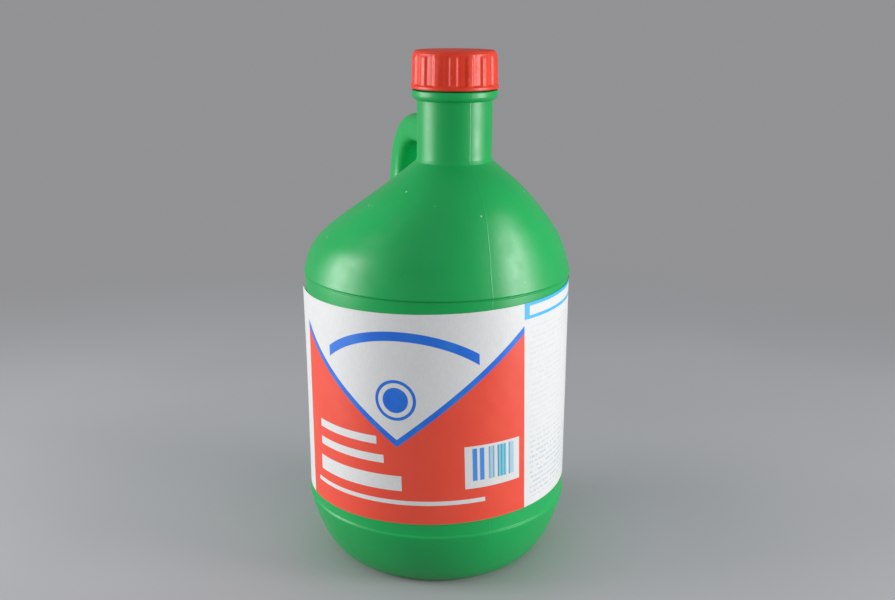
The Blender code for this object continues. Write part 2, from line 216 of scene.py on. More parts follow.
def feed(socket, value):
    """Link a socket to a Value, or give it a plain value. A plain colour has no alpha of its own."""
    if isinstance(value, Value):
        value.tree.links.new(value.socket, socket)
    elif socket.type == "RGBA":
        socket.default_value = (*value, 1.0)
    else:
        socket.default_value = value


def feed_all(node, values):
    """Feed several inputs of a node, each found by its name or number."""
    for name, value in values.items():
        feed(node.inputs[name], value)


def add(tree, kind, values={}, output=0, **settings):
    """Add a node, set it, feed its inputs and hand back one of its outputs, as a rule the first."""
    node = tree.nodes.new(kind)
    for name, setting in settings.items():
        setattr(node, name, setting)
    feed_all(node, values)
    return Value(node.outputs[output])


def then(geometry, kind, values={}, **settings):
    """Lead a geometry through one more node."""
    return add(geometry.tree, kind, {"Geometry": geometry, **values}, **settings)


def calc(operation, *values):
    """A Math node, in the tree of the first Value."""
    tree = next(value.tree for value in values if isinstance(value, Value))
    return add(tree, "ShaderNodeMath", dict(enumerate(values)), operation=operation)


print("node helpers ready")

# %% Sums that come back often
NOISE_LOW = 0.3
NOISE_HIGH = 0.7


def ranged(value, low, high, out_low=0.0, out_high=1.0, smooth=True):
    """A Map Range node, held at its ends."""
    kind = "SMOOTHSTEP" if smooth else "LINEAR"
    values = {"Value": value, "From Min": low, "From Max": high, "To Min": out_low, "To Max": out_high}
    return add(value.tree, "ShaderNodeMapRange", values, interpolation_type=kind)


def spread(value, out_low=0.0, out_high=1.0):
    """A noise's usual range, spread over another one."""
    return ranged(value, NOISE_LOW, NOISE_HIGH, out_low, out_high)


def split(vector):
    """The X, Y and Z of a vector."""
    node = vector.tree.nodes.new("ShaderNodeSeparateXYZ")
    feed(node.inputs[0], vector)
    return [Value(socket) for socket in node.outputs]


def packed(x, y, z):
    """A vector from three numbers, of which the first is a Value."""
    return add(x.tree, "ShaderNodeCombineXYZ", {0: x, 1: y, 2: z})


def length_of(x, y):
    """The length of a flat vector."""
    return calc("SQRT", calc("POWER", x, 2.0) + calc("POWER", y, 2.0))


def noise(place, scale, detail=2.0, roughness=0.5, seed=None):
    """A Noise Texture's grey value. A seed makes it four-dimensional."""
    values = {"Vector": place, "Scale": scale, "Detail": detail, "Roughness": roughness}
    if seed is None:
        return add(place.tree, "ShaderNodeTexNoise", values)
    return add(place.tree, "ShaderNodeTexNoise", {**values, "W": seed}, noise_dimensions="4D")


print("sums ready")

# %% [markdown]
# Every tree of Geometry Nodes starts and ends in the same way. Three of them roll up a flat grid, with
# a column for each step round and a row for each point of a profile, which they read from the mesh
# that they are given.

# %% Tree helpers
def start_tree(name, whole, floats):
    """An empty tree with a geometry, its numbers and a material as inputs, and a geometry output."""
    tree = bpy.data.node_groups.new(name, "GeometryNodeTree")
    kinds = [("Geometry", "Geometry"), ("Material", "Material")]
    kinds += [(label, "Int") for label in whole] + [(label, "Float") for label in floats]
    for label, kind in kinds:
        tree.interface.new_socket(label, in_out="INPUT", socket_type="NodeSocket" + kind)
    tree.interface.new_socket("Geometry", in_out="OUTPUT", socket_type="NodeSocketGeometry")
    outputs = tree.nodes.new("NodeGroupInput").outputs
    return tree, {label: Value(outputs[label]) for label, kind in kinds}


def position(tree):
    """The place of each point."""
    return add(tree, "GeometryNodeInputPosition")


def profile_grid(tree, given):
    """A flat grid, the number of each point's column, and its profile point's radius and height."""
    size = {"Vertices X": given["Columns"] + 1.0, "Vertices Y": given["Rows"]}
    number = add(tree, "GeometryNodeInputIndex")
    column = calc("FLOOR", (number + 0.5) / given["Rows"])
    row = number - column * given["Rows"]
    values = {"Value": position(tree), "Index": row}
    point = then(given["Geometry"], "GeometryNodeSampleIndex", values, data_type="FLOAT_VECTOR")
    radius, unused, height = split(point)
    return add(tree, "GeometryNodeMeshGrid", size), column, radius, height


def rolled(geometry, radius, angle, height, axis_y):
    """Set each point's place by radius, angle and height round an upright axis."""
    place = packed(radius * calc("COSINE", angle), radius * calc("SINE", angle) + axis_y, height)
    return then(geometry, "GeometryNodeSetPosition", {"Position": place})


def welded(geometry):
    """Merge the points that lie on one another."""
    return then(geometry, "GeometryNodeMergeByDistance", {"Distance": MERGE})


def end_tree(geometry, material):
    """Close a tree: smooth faces, real geometry and its material."""
    real = then(then(geometry, "GeometryNodeSetShadeSmooth"), "GeometryNodeRealizeInstances")
    finished = then(real, "GeometryNodeSetMaterial", {"Material": material})
    tree = geometry.tree
    feed(tree.nodes.new("NodeGroupOutput").inputs["Geometry"], finished)
    print("tree", tree.name, "has", len(tree.nodes), "nodes")


print("tree helpers ready")

# %% [markdown]
# A tree is used through a modifier. Its inputs are set by identifier, then the evaluated object is
# copied to a plain mesh and the modifier goes away with its holder. Doubles are welded and the
# faces of the closed shell are turned outwards.

# %% Mesh helpers
def put(name, mesh):
    """Link a new object that holds a mesh."""
    item = bpy.data.objects.new(name, mesh)
    bpy.context.scene.collection.objects.link(item)
    return item


def wire(name, points):
    """A chain of edges through points, for a tree to work on."""
    mesh = bpy.data.meshes.new(name)
    mesh.from_pydata(points, [(i, i + 1) for i in range(len(points) - 1)], [])
    return mesh


def plain(item, closed=True):
    """Turn an object with its modifiers into a plain mesh object, welded and facing outwards."""
    bpy.context.view_layer.update()
    graph = bpy.context.evaluated_depsgraph_get()
    mesh = bpy.data.meshes.new_from_object(item.evaluated_get(graph))
    name = item.name
    bpy.data.objects.remove(item, do_unlink=True)
    shape = bmesh.new()
    shape.from_mesh(mesh)
    bmesh.ops.remove_doubles(shape, verts=shape.verts, dist=MERGE)
    if closed:
        bmesh.ops.recalc_face_normals(shape, faces=shape.faces)
    shape.to_mesh(mesh)
    shape.free()
    return put(name, mesh)


def grow(name, start, tree, values, closed=True):
    """Run a Geometry Nodes tree on a starting mesh and keep the result as a plain mesh."""
    item = put(name, start)
    step = item.modifiers.new("tree", "NODES")
    step.node_group = tree
    for socket in tree.interface.items_tree:
        if socket.item_type == "SOCKET" and socket.in_out == "INPUT" and socket.name in values:
            step[socket.identifier] = values[socket.name]
    return plain(item, closed)


def combine(target, tool, operation):
    """Join or cut one closed mesh with another and drop the tool."""
    step = target.modifiers.new(operation, "BOOLEAN")
    step.operation = operation
    step.solver = "EXACT"
    step.object = tool
    result = plain(target)
    bpy.data.objects.remove(tool, do_unlink=True)
    return result


print("mesh helpers ready")

# %% [markdown]
# ## Finishes
# Every finish reads Object coordinates, which are metres here, so a noise scale of 1000 makes
# marks of about a millimetre. The helpers add a mix of two colours, a bump and small marks.

# %% Shader helpers
def new_finish(name):
    """A material, its Principled shader and an Object coordinate to work from."""
    material = bpy.data.materials.new(name)
    material.use_nodes = True
    tree = material.node_tree
    return material, tree.nodes["Principled BSDF"], add(tree, "ShaderNodeTexCoord", output="Object")


def stretched(place, x, y, z):
    """The same place with its three axes scaled."""
    return add(place.tree, "ShaderNodeMapping", {"Vector": place, "Scale": (x, y, z)})


def dots(place, scale, size):
    """Small round marks in the cells of a Voronoi pattern, and a random colour for each cell."""
    distance = add(place.tree, "ShaderNodeTexVoronoi", {"Vector": place, "Scale": scale})
    return ranged(distance, 0.0, size, 1.0, 0.0), Value(distance.socket.node.outputs["Color"])


def mixed(share, first, second):
    """A mix of two colours."""
    return add(share.tree, "ShaderNodeMix", {0: share, 6: first, 7: second}, 2, data_type="RGBA")


def bumped(height, distance, strength=1.0, below=None):
    """A Bump node, laid over another one if given."""
    values = {"Strength": strength, "Distance": distance, "Height": height}
    if below is not None:
        values["Normal"] = below
    return add(height.tree, "ShaderNodeBump", values)


print("shader helpers ready")

# %% [markdown]
# ### Green jug plastic
# Blow moulded polyethylene is waxy: it shines softly, its colour drifts a little, and the mould
# leaves a fine grain. The two halves of the mould meet in the plane through neck and handle and
# leave a thin raised line all the way round, which gets wider where the base is pinched off.
# Handling adds hairline scuffs and a few specks of dust.

# %% Green plastic
GREEN = (0.0010, 0.430, 0.094)
GREEN_DEEP = (0.0008, 0.380, 0.081)
GREEN_PALE = (0.04, 0.56, 0.19)
DUST = (0.72, 0.82, 0.72)
SEAM_WIDTH = 0.00045
PINCH_WIDTH = 0.0011
PINCH_FROM = 0.006
PINCH_TO = 0.012
SEAM_WANDER = 0.0004
SEAM_HIGHLIGHT_COLOUR = 0.07
SCUFF_COLOUR = 0.25
SCUFF_ROUGHNESS = 0.12

green_plastic, shader, place = new_finish("green_jug_plastic")
x, y, z = split(place)
colour = mixed(spread(noise(place, 16.0)), GREEN_DEEP, GREEN)
off_seam = calc("ABSOLUTE", x + (noise(place, 25.0, 1.0) - 0.5) * SEAM_WANDER)
seam = 1.0 - off_seam / ranged(z, PINCH_FROM, PINCH_TO, PINCH_WIDTH, SEAM_WIDTH)
seam = ranged(seam, 0.0, 1.0)
# The seam is also painted a little paler along its length: a painted highlight, as if the raised line
# caught the light.
colour = mixed(seam * SEAM_HIGHLIGHT_COLOUR, colour, GREEN_PALE)
scuffs = ranged(noise(stretched(place, 700.0, 700.0, 60.0), 1.0, 3.0, 0.6), 0.68, 0.80)
scuffs = scuffs * ranged(noise(place, 28.0), 0.52, 0.66)
colour = mixed(scuffs * SCUFF_COLOUR, colour, GREEN_PALE)
speck, pick = dots(place, 90.0, 0.08)
chosen = ranged(split(pick)[0], 0.60, 0.61)
facing_up = split(add(place.tree, "ShaderNodeNewGeometry", output="Normal"))[2]
specks = speck * chosen * ranged(facing_up, 0.15, 0.45)
colour = mixed(specks * 0.7, colour, DUST)
gloss = spread(noise(place, 90.0, 4.0, 0.6), 0.33, 0.41) + scuffs * SCUFF_ROUGHNESS
relief = bumped(noise(place, 1500.0), 0.00002, 0.5)
relief = bumped(noise(place, 260.0), 0.00005, 0.6, relief)
relief = bumped(noise(place, 45.0, 1.0), 0.00025, 0.5, relief)
relief = bumped(seam + specks * 0.5, 0.00005, 1.0, relief)
feed_all(shader, {
    "Base Color": colour, "Roughness": gloss, "Normal": relief, "IOR": 1.52,
    "Subsurface Weight": 0.06, "Subsurface Radius": (0.2, 1.0, 0.3), "Subsurface Scale": 0.003,
})
print("green plastic:", len(place.tree.nodes), "nodes")

# %% [markdown]
# ### Red cap plastic
# The cap is injection moulded polypropylene. It shines a little less than the jug, and its flat top
# is more matt still. The ribs' crests are rubbed paler by hands, so the rib tree stores how far each
# point stands on a rib and the finish reads it. A small round scar in the middle of the top is where
# the mould was fed.

# %% Red plastic
RED = (0.88, 0.045, 0.012)
RED_DEEP = (0.83, 0.038, 0.010)
RED_PALE = (0.90, 0.15, 0.09)
RED_DUST = (0.8, 0.6, 0.55)
MATT_TOP = 0.25
SCAR_RADIUS = 0.0012
SCAR_EDGE = 0.0004

red_plastic, shader, place = new_finish("red_cap_plastic")
x, y, z = split(place)
colour = mixed(spread(noise(place, 60.0)), RED_DEEP, RED)
rib = add(place.tree, "ShaderNodeAttribute", output="Fac", attribute_name="rib")
rub = rib * ranged(noise(place, 420.0, 3.0), 0.5, 0.72)
colour = mixed(rub * 0.35, colour, RED_PALE)
speck, pick = dots(place, 260.0, 0.08)
specks = speck * ranged(split(pick)[1], 0.97, 0.975)
colour = mixed(specks * 0.6, colour, RED_DUST)
gloss = spread(noise(place, 240.0, 4.0, 0.6), 0.36, 0.44) + rub * 0.15
gloss = gloss + ranged(z, CAP_TOP_Z - 0.0006, CAP_TOP_Z - 0.0002, 0.0, MATT_TOP)
scar = ranged(length_of(x, y + NECK_OFFSET), SCAR_RADIUS, SCAR_RADIUS + SCAR_EDGE, 1.0, 0.0)
scar = scar * ranged(z, CAP_TOP_Z - 0.001, CAP_TOP_Z - 0.0005)
relief = bumped(noise(place, 2200.0), 0.000015, 0.5)
relief = bumped(noise(place, 420.0), 0.00003, 0.6, relief)
relief = bumped(scar, 0.0002, 1.0, relief)
feed_all(shader, {
    "Base Color": colour, "Roughness": gloss, "Normal": relief, "IOR": 1.49,
    "Subsurface Weight": 0.05, "Subsurface Radius": (1.0, 0.2, 0.1), "Subsurface Scale": 0.002,
})
print("red plastic:", len(place.tree.nodes), "nodes")

# %% [markdown]
# ### White foam for the liner
# The liner is a disc of closed cell foam. A fine cell pattern gives it its dull, pitted face.

# %% White foam
FOAM = (0.84, 0.84, 0.82)
FOAM_DEEP = (0.74, 0.74, 0.72)
FOAM_STAIN = (0.70, 0.69, 0.62)

white_foam, shader, place = new_finish("white_liner_foam")
cells = add(place.tree, "ShaderNodeTexVoronoi", {"Vector": place, "Scale": 2600.0})
stain = ranged(noise(place, 120.0, 3.0), 0.45, 0.75)
colour = mixed(ranged(cells, 0.0, 0.6), FOAM_DEEP, FOAM)
feed_all(shader, {
    "Base Color": mixed(stain * 0.3, colour, FOAM_STAIN),
    "Roughness": spread(noise(place, 900.0), 0.72, 0.9),
    "Normal": bumped(cells, 0.00006, 0.8),
})
print("white foam:", len(place.tree.nodes), "nodes")

# %% [markdown]
# ### Printed label paper
# The label is coated paper, printed in red, blue and pale blue. Its print is drawn by sums on the
# sheet's own flat coordinates, in millimetres: along to the right of the front, and up from the
# lower edge. A step is a soft threshold, a band is two steps, and a box is two bands.

# %% Print helpers
PRINT_EDGE = 0.12


def step_up(value, edge):
    """0 below an edge and 1 above it, with the small spread of ink on paper."""
    return ranged(value, edge - PRINT_EDGE, edge + PRINT_EDGE)


def band(value, low, high):
    """1 between two edges."""
    return step_up(value, low) * (1.0 - step_up(value, high))


def box_of(along, up, left, right, low, high):
    """1 inside a rectangle of the sheet."""
    return band(along, left, right) * band(up, low, high)


def either(*masks):
    """The larger of several masks."""
    result = masks[0]
    for mask in masks[1:]:
        result = calc("MAXIMUM", result, mask)
    return result


def beside_line(along, up, start, end):
    """Distance to the left of a line that runs from one point to another."""
    run = (Vector(end) - Vector(start)).normalized()
    return (up - start[1]) * run.x - (along - start[0]) * run.y


print("print helpers ready")

# %% Printed paper
PAPER = (0.84, 0.84, 0.83)
PAPER_DEEP = (0.80, 0.80, 0.79)
INK_RED = (0.92, 0.082, 0.043)
INK_RED_PALE = (0.94, 0.120, 0.066)
INK_BLUE = (0.012, 0.15, 0.78)
INK_PALE = (0.07, 0.52, 0.88)
INK_FINE = (0.12, 0.42, 0.62)
RED_LEFT = -91.0
RED_RIGHT = 54.6
RED_LEFT_TOP = 104.0
RED_RIGHT_TOP = 106.4
VALLEY = (-19.8, 47.6)
BORDER_HALF = 1.65
SHEET_SPAN = 300.0
SHEET_MIDDLE = 150.0

printed_paper, shader, place = new_finish("printed_label_paper")
u, v, w = split(add(place.tree, "ShaderNodeUVMap", uv_map="UVMap"))
along = u * SHEET_SPAN - SHEET_MIDDLE
up = v * SHEET_SPAN
field = band(along, RED_LEFT, RED_RIGHT)
left_side = beside_line(along, up, (RED_LEFT, RED_LEFT_TOP), VALLEY)
right_side = beside_line(along, up, VALLEY, (RED_RIGHT, RED_RIGHT_TOP))
above = calc("MINIMUM", left_side, right_side)
red_mask = field * (1.0 - step_up(above, 0.0))
border_mask = field * band(above, -BORDER_HALF, BORDER_HALF)
print("fields ready:", len(place.tree.nodes), "nodes")

# %% [markdown]
# The plain arch and the ring stand in the white field, plain bars stand on the red one, and a
# framed group of stripes stands at its lower right. The side panel has a pale band at its top and
# rows of short fine dashes below it. Boxes are given as left, right, low and high.

# %% Arch, ring, bars and stripes
ARCH_CENTRE = (-18.5, 29.8)
ARCH_RADIUS = 78.7
ARCH_HALF = 2.6
ARCH_ENDS = (-64.0, 26.5)
RING_CENTRE = (-19.9, 72.5)
RING_RADII = (9.8, 11.6)
RING_DOT = 7.2
BARS = [(-77, -32, 46.0, 50.6), (-77, -28, 35.3, 40.0), (-78, -18, 19.6, 28.4), (-82, 28.4, 11.4, 13.9)]
CODE_BOX = (17.1, 50.7, 20.0, 45.0)
STRIPE_ENDS = (24.4, 43.5)
STRIPES = [
    ((0.07, 0.30, 0.80), [(21.5, 2.7), (25.7, 2.6)]),
    ((0.45, 0.66, 0.80), [(30.7, 3.9), (43.4, 3.4)]),
    ((0.20, 0.62, 0.76), [(37.0, 4.8)]),
    ((0.05, 0.27, 0.50), [(31.3, 0.4), (33.6, 0.35), (36.3, 0.7), (38.6, 0.5), (40.6, 0.35), (43.5, 0.6)]),
]
HEAD_BOX = (RED_RIGHT, 200.0, 111.7, 130.0)
HEAD_BAR = (58.5, 124.0, 113.6, 119.0)
SIDE_BOX = (59.0, 123.0, 4.5, 107.0)
ROW_PITCH = 3.1
ROW_PRINT = (0.9, 1.9)

from_centre = length_of(along - ARCH_CENTRE[0], up - ARCH_CENTRE[1])
arch_mask = band(from_centre, ARCH_RADIUS - ARCH_HALF, ARCH_RADIUS + ARCH_HALF) * band(along, *ARCH_ENDS)
from_ring = length_of(along - RING_CENTRE[0], up - RING_CENTRE[1])
ring_mask = either(band(from_ring, *RING_RADII), 1.0 - step_up(from_ring, RING_DOT))
bar_mask = either(*[box_of(along, up, *bar) for bar in BARS])
code_mask = box_of(along, up, *CODE_BOX)
stripe_height = band(up, *STRIPE_ENDS)
head_mask = box_of(along, up, *HEAD_BOX)
head_bar = box_of(along, up, *HEAD_BAR)
row = up / ROW_PITCH
row_mask = band(calc("FRACT", row) * ROW_PITCH, *ROW_PRINT)
dash_place = packed(along * 0.55, calc("FLOOR", row) * 5.37, 0.0)
dash_mask = ranged(noise(dash_place, 1.0, 2.0, 0.7), 0.46, 0.50)
strength = ranged(up, 25.0, 50.0, 0.42, 0.10)
fine_mask = (row_mask * dash_mask) * (box_of(along, up, *SIDE_BOX) * strength)
print("print shapes ready:", len(place.tree.nodes), "nodes")

# %% [markdown]
# The shapes are laid over the paper one after another, as the inks are. Under them the paper has
# a faint fibre pattern, and its coat shines unevenly.

# %% Inks and paper
fibre = noise(stretched(place, 900.0, 900.0, 350.0), 1.0, 4.0, 0.7)
ink_drift = spread(noise(place, 55.0, 3.0), 0.0, 0.18)
paper = mixed(ranged(fibre, 0.35, 0.65), PAPER, PAPER_DEEP)
colour = mixed(red_mask, paper, mixed(ink_drift, INK_RED, INK_RED_PALE))
colour = mixed(bar_mask, colour, paper)
colour = mixed(code_mask, colour, paper)
for ink, stripes in STRIPES:
    stripe_mask = either(*[band(along, at, at + wide) for at, wide in stripes])
    colour = mixed(stripe_mask * stripe_height, colour, ink)
blue_mask = either(border_mask, arch_mask, ring_mask)
colour = mixed(blue_mask, colour, mixed(ink_drift, INK_BLUE, INK_PALE))
colour = mixed(head_mask, colour, INK_PALE)
colour = mixed(head_bar, colour, paper)
colour = mixed(fine_mask, colour, INK_FINE)
coat = spread(noise(place, 130.0, 4.0, 0.65), 0.34, 0.46)
relief = bumped(fibre, 0.00002, 0.6)
relief = bumped(noise(place, 70.0), 0.00022, 0.5, relief)
feed_all(shader, {"Base Color": colour, "Roughness": coat, "Normal": relief, "IOR": 1.5})
print("printed paper:", len(place.tree.nodes), "nodes")

# %% [markdown]
# ## Profiles
# A turned form is drawn as a chain of points from the axis out and back. Real mouldings have no
# knife edges, so each sharp corner becomes a small arc, and long runs get extra points, which keeps
# the shading calm next to the arcs.

# %% Profile helpers
SOFT_FROM = radians(8.0)
LONGEST_CUT = 0.45


def softened(corners, radius, arc_points=4):
    """Round the corners of a profile. A corner may carry its own radius as a third number."""
    result = [tuple(corners[0][:2])]
    for before, here, after in zip(corners, corners[1:], corners[2:]):
        a, b, c = (Vector(p[:2]) for p in (before, here, after))
        into, out = b - a, c - b
        size = here[2] if len(here) > 2 else radius
        bend = into.angle(out, 0.0)
        cut = min(size * np.tan(min(bend, 3.0) / 2), into.length * LONGEST_CUT, out.length * LONGEST_CUT)
        if bend < SOFT_FROM or cut < 2 * MERGE:
            result.append(tuple(b))
            continue
        start, end = b - into.normalized() * cut, b + out.normalized() * cut
        for i in range(arc_points + 1):
            t = i / arc_points
            result.append(tuple(start * (1 - t) ** 2 + b * 2 * t * (1 - t) + end * t**2))
    result.append(tuple(corners[-1][:2]))
    return result


def evenly(points, longest):
    """Split the long runs of a profile."""
    result = [points[0]]
    for a, b in zip(points, points[1:]):
        parts = max(1, int(np.ceil(hypot(b[0] - a[0], b[1] - a[1]) / longest)))
        for i in range(1, parts + 1):
            result.append((a[0] + (b[0] - a[0]) * i / parts, a[1] + (b[1] - a[1]) * i / parts))
    return result


def smooth_curve(knots, values, place):
    """A smooth curve through a few stations: cubic pieces with averaged slopes."""
    slopes = np.gradient(values, knots)
    i = min(int(np.searchsorted(knots, place, side="right")) - 1, len(knots) - 2)
    span = knots[i + 1] - knots[i]
    t = (place - knots[i]) / span
    rise = (2 * t**3 - 3 * t**2 + 1) * values[i] + (3 * t**2 - 2 * t**3) * values[i + 1]
    return rise + span * ((t**3 - 2 * t**2 + t) * slopes[i] + (t**3 - t**2) * slopes[i + 1])


def shoulder_radius(share):
    """The shoulder's outer radius at a share of its height."""
    width = smooth_curve(SHOULDER_SHARES, SHOULDER_WIDTHS, share)
    return NECK_BASE_RADIUS + (SHOULDER_RADIUS - NECK_BASE_RADIUS) * width


def ease(t):
    """The smooth step of a Map Range node, for arrays."""
    t = np.clip(t, 0.0, 1.0)
    return t * t * (3.0 - 2.0 * t)


print("profile helpers ready")

# %% [markdown]
# ## The jug's wall
# The jug is a turned form, except that its neck isn't over its middle. Each ring is a circle whose
# centre slides toward the front as it climbs the shoulder. That is a rule, so a Geometry Nodes tree
# makes it: a flat grid is rolled up, and a smooth step on the height gives the slide. A slow noise
# sinks the wall by a tenth of a millimetre here and there, as cooling plastic does.

# %% Tree: turned wall
SINK_FADE = 0.03

wall_tree, given = start_tree(
    "turned wall",
    ["Columns", "Rows"],
    ["Offset", "Offset from", "Offset to", "Sink", "Sink below", "Seed"],
)
grid, column, radius, height = profile_grid(wall_tree, given)
slide = ranged(height, given["Offset from"], given["Offset to"]) * given["Offset"]
turned_by = column / given["Columns"] * tau
closed_wall = welded(rolled(grid, radius, turned_by, height, slide * -1.0))
spot = position(wall_tree)
sx, sy, sz = split(spot)
low_part = ranged(sz, given["Sink below"] - SINK_FADE, given["Sink below"], 1.0, 0.0)
deep = spread(noise(spot, 17.0, 1.0, seed=given["Seed"])) * low_part * given["Sink"]
inward = {0: packed(sx * -1.0, sy * -1.0, 0.0)}
inward = add(wall_tree, "ShaderNodeVectorMath", inward, operation="NORMALIZE")
push = add(wall_tree, "ShaderNodeVectorMath", {0: inward, "Scale": deep}, operation="SCALE")
end_tree(then(closed_wall, "GeometryNodeSetPosition", {"Offset": push}), given["Material"])

# %% Profiles of the jug
HEEL_STEPS = 28
BEAD_STEPS = 8
SHORT_RUN = 0.006
SOFT_CORNER = 0.0005


def push_up(lift):
    """The raised middle of the base, from the axis out to the foot ring."""
    edge = FOOT_RADIUS - FOOT_WIDTH
    return [(edge * share, lift + PUSH_UP * (1.0 - share**2)) for share in np.linspace(0.0, 1.0, 14)]


def heel(side_radius, floor_z):
    """The rounded heel from the foot ring up to the ridge, a quarter of a squared-off ellipse."""
    points = []
    for i in range(HEEL_STEPS + 1):
        angle = radians(90.0) * (1.0 - i / HEEL_STEPS)
        out = max(cos(angle), 0.0) ** HEEL_SIDE_POWER
        down = max(sin(angle), 0.0) ** HEEL_FOOT_POWER
        radius = FOOT_RADIUS + (side_radius - FOOT_RADIUS) * out
        points.append((radius, HEEL_HEIGHT - (HEEL_HEIGHT - floor_z) * down))
    return points


outside = push_up(0.0) + heel(RIDGE_RADIUS, 0.0)
outside += [(RIDGE_RADIUS, HEEL_HEIGHT + RIDGE_HEIGHT, 0.0004), (PANEL_RADIUS, PANEL_Z, 0.0006)]
outside += [
    (PANEL_RADIUS, GROOVE_Z - GROOVE_HEIGHT / 2, 0.0005),
    (PANEL_RADIUS - GROOVE_DEPTH, GROOVE_Z - 0.0001, 0.0003),
    (SHOULDER_RADIUS, GROOVE_Z + GROOVE_HEIGHT / 2, 0.0008),
]
shares = np.linspace(SHOULDER_START, 1.0, 52)
outside += [(shoulder_radius(share), GROOVE_Z + share * SHOULDER_HEIGHT) for share in shares]
outside[-1] = (*outside[-1], 0.0003)
outside += [(NECK_RADIUS, NECK_Z + NECK_FLARE_HEIGHT, 0.0015), (NECK_RADIUS, BEAD_Z, 0.0005)]
for i in range(1, BEAD_STEPS + 1):
    bend = radians(90.0 * i / BEAD_STEPS)
    outside.append((BEAD_RADIUS - BEAD_STAND * (1.0 - sin(bend)), BEAD_Z + BEAD_STAND * (1.0 - cos(bend))))
outside += [(BEAD_RADIUS, FINISH_Z, 0.0008), (FINISH_RADIUS, FINISH_Z, 0.0006)]
outside += [(FINISH_RADIUS, RIM_Z, 0.0005), (0.0, RIM_Z)]
outside = evenly(softened(outside, SOFT_CORNER), SHORT_RUN)
outer_r, outer_z = zip(*[point for point in outside if point[0] > NECK_RADIUS - 0.0001])
print("outside profile:", len(outside), "points")

# %% Profile of the hollow
PAST_RIM = 0.002
RIM_CUT = 0.0006

inside = push_up(WALL) + heel(RIDGE_RADIUS - WALL, WALL)
inside += [(PANEL_RADIUS - WALL, PANEL_Z + WALL), (PANEL_RADIUS - WALL, GROOVE_Z - GROOVE_HEIGHT)]
for share in np.linspace(0.1, 0.9, 24):
    slope = (shoulder_radius(share + 0.01) - shoulder_radius(share - 0.01)) / (0.02 * SHOULDER_HEIGHT)
    inside.append((shoulder_radius(share) - WALL * hypot(1.0, slope), GROOVE_Z + share * SHOULDER_HEIGHT))
inside += [(NECK_RADIUS - WALL, NECK_Z + WALL / 2, 0.001), (NECK_RADIUS - WALL, BEAD_Z, 0.002)]
inside += [(BORE_RADIUS, FINISH_Z, 0.002), (BORE_RADIUS, RIM_Z - RIM_CUT, 0.0004)]
inside += [(BORE_RADIUS + RIM_CUT, RIM_Z, 0.0003)]
inside += [(BORE_RADIUS + RIM_CUT, RIM_Z + PAST_RIM), (0.0, RIM_Z + PAST_RIM)]
inside = evenly(softened(inside, SOFT_CORNER), 2 * SHORT_RUN)
print("hollow profile:", len(inside), "points")

# %% Turn the jug and its hollow
SINK = 0.0001
SINK_STOP = 0.004
SINK_SEED = 3.0
JUG_COLUMNS = 240


def turned(name, profile, columns, offset_from, offset_to, material, sink=0.0):
    """A closed turned form whose rings slide by the neck's offset between two heights."""
    values = {
        "Columns": columns, "Rows": len(profile), "Offset": NECK_OFFSET, "Offset from": offset_from,
        "Offset to": offset_to, "Sink": sink, "Sink below": BEAD_Z - SINK_STOP, "Seed": SINK_SEED,
        "Material": material,
    }
    return grow(name, wire(name, [(r, 0.0, h) for r, h in profile]), wall_tree, values)


SLIDE_FROM = GROOVE_Z + SHIFT_START * SHOULDER_HEIGHT
SLIDE_TO = GROOVE_Z + SHIFT_END * SHOULDER_HEIGHT
jug = turned("jug_body", outside, JUG_COLUMNS, SLIDE_FROM, SLIDE_TO, green_plastic, SINK)
hollow = turned("hollow", inside, JUG_COLUMNS // 2, SLIDE_FROM, SLIDE_TO, green_plastic)
print("jug:", len(jug.data.polygons), "faces, hollow:", len(hollow.data.polygons))

# %% [markdown]
# ## The handle
# The handle is a hollow tube on a path in the plane of the mould halves. It leaves the neck level,
# turns down and lands on the shoulder, where it widens. The path is worked out here, and a
# Geometry Nodes tree sweeps a section along it: a circle whose points are pushed out to a rounded
# rectangle by a power of their sine and cosine. The section's size is stored along the path.

# %% Tree: bent tube
def squared(value, squareness):
    """A sine or cosine pushed out toward a square corner, with its sign kept."""
    return calc("SIGN", value) * calc("POWER", calc("ABSOLUTE", value), 2.0 / squareness)


tube_tree, given = start_tree("bent tube", ["Round"], ["Width", "Thickness", "Squareness"])
path_curve = add(tube_tree, "GeometryNodeMeshToCurve", {"Mesh": given["Geometry"]})
size_of = add(tube_tree, "GeometryNodeInputNamedAttribute", {"Name": "size"}, data_type="FLOAT")
ring = {"Resolution": given["Round"] * 4.0, "Radius": 1.0}
ring = add(tube_tree, "GeometryNodeCurvePrimitiveCircle", ring)
cx, cy, cz = split(position(tube_tree))
across = squared(cx, given["Squareness"]) * (given["Width"] / 2.0)
deep = squared(cy, given["Squareness"]) * (given["Thickness"] / 2.0)
square = then(ring, "GeometryNodeSetPosition", {"Position": packed(across, deep, 0.0)})
even = add(tube_tree, "GeometryNodeResampleCurve", {"Curve": square, "Count": given["Round"]})
sweep = {"Curve": path_curve, "Profile Curve": even, "Scale": size_of, "Fill Caps": True}
end_tree(add(tube_tree, "GeometryNodeCurveToMesh", sweep), given["Material"])

# %% Handle path
PATH_STEPS = 30
TUBE_COLUMNS = 56

